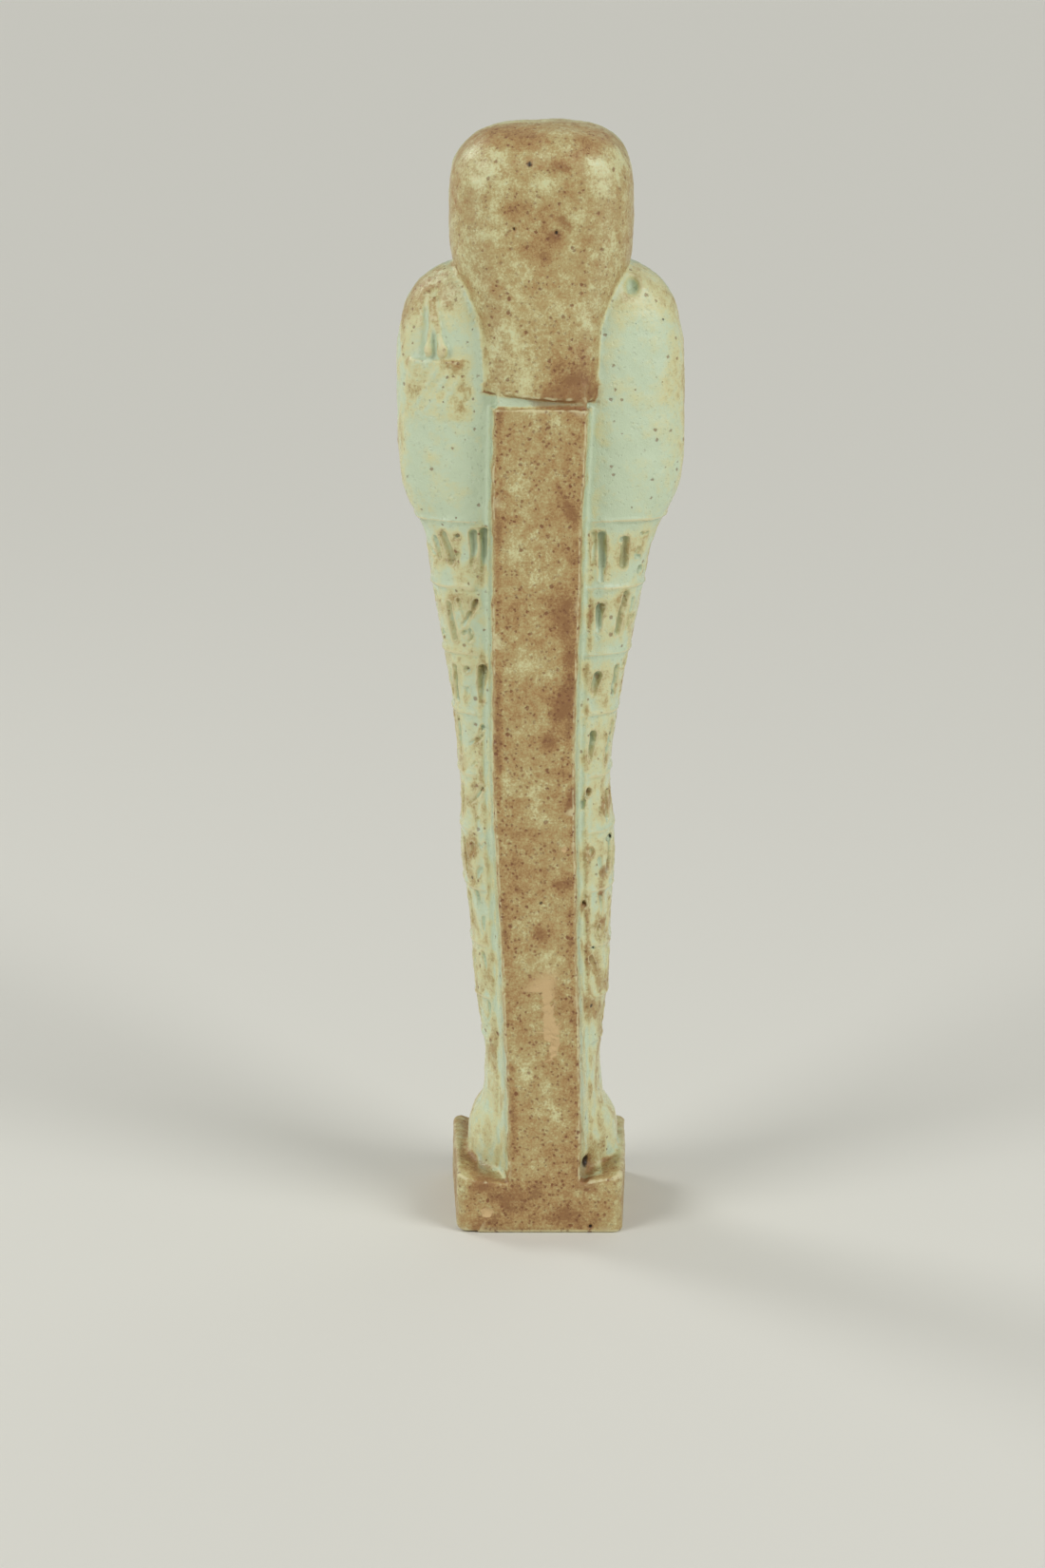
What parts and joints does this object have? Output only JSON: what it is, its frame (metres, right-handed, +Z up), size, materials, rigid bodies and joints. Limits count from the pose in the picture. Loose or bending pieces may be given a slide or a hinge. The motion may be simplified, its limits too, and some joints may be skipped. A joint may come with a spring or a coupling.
{
  "type": "ushabti figurine",
  "caption": "Small mummy-shaped funerary figurine in glazed faience with wig, crossed arms, back pillar, bands of incised signs and a low plinth, standing upright.",
  "frame": {"origin": "middle of the plinth's underside, on the surface it stands on", "axes": "+Z up along the figure, -Y the way the face looks, +Y out of the back pillar, +X towards the figure's left shoulder with the seed bag"},
  "size_m": [0.0334, 0.0217, 0.131],
  "materials": {
    "faience": "pale green faience glaze, worn semi-gloss, stained tan and brown, with fine dark specks"
  },
  "bodies": {
    "root": {"ushabti_figurine": "faience"}
  },
  "joints": []
}
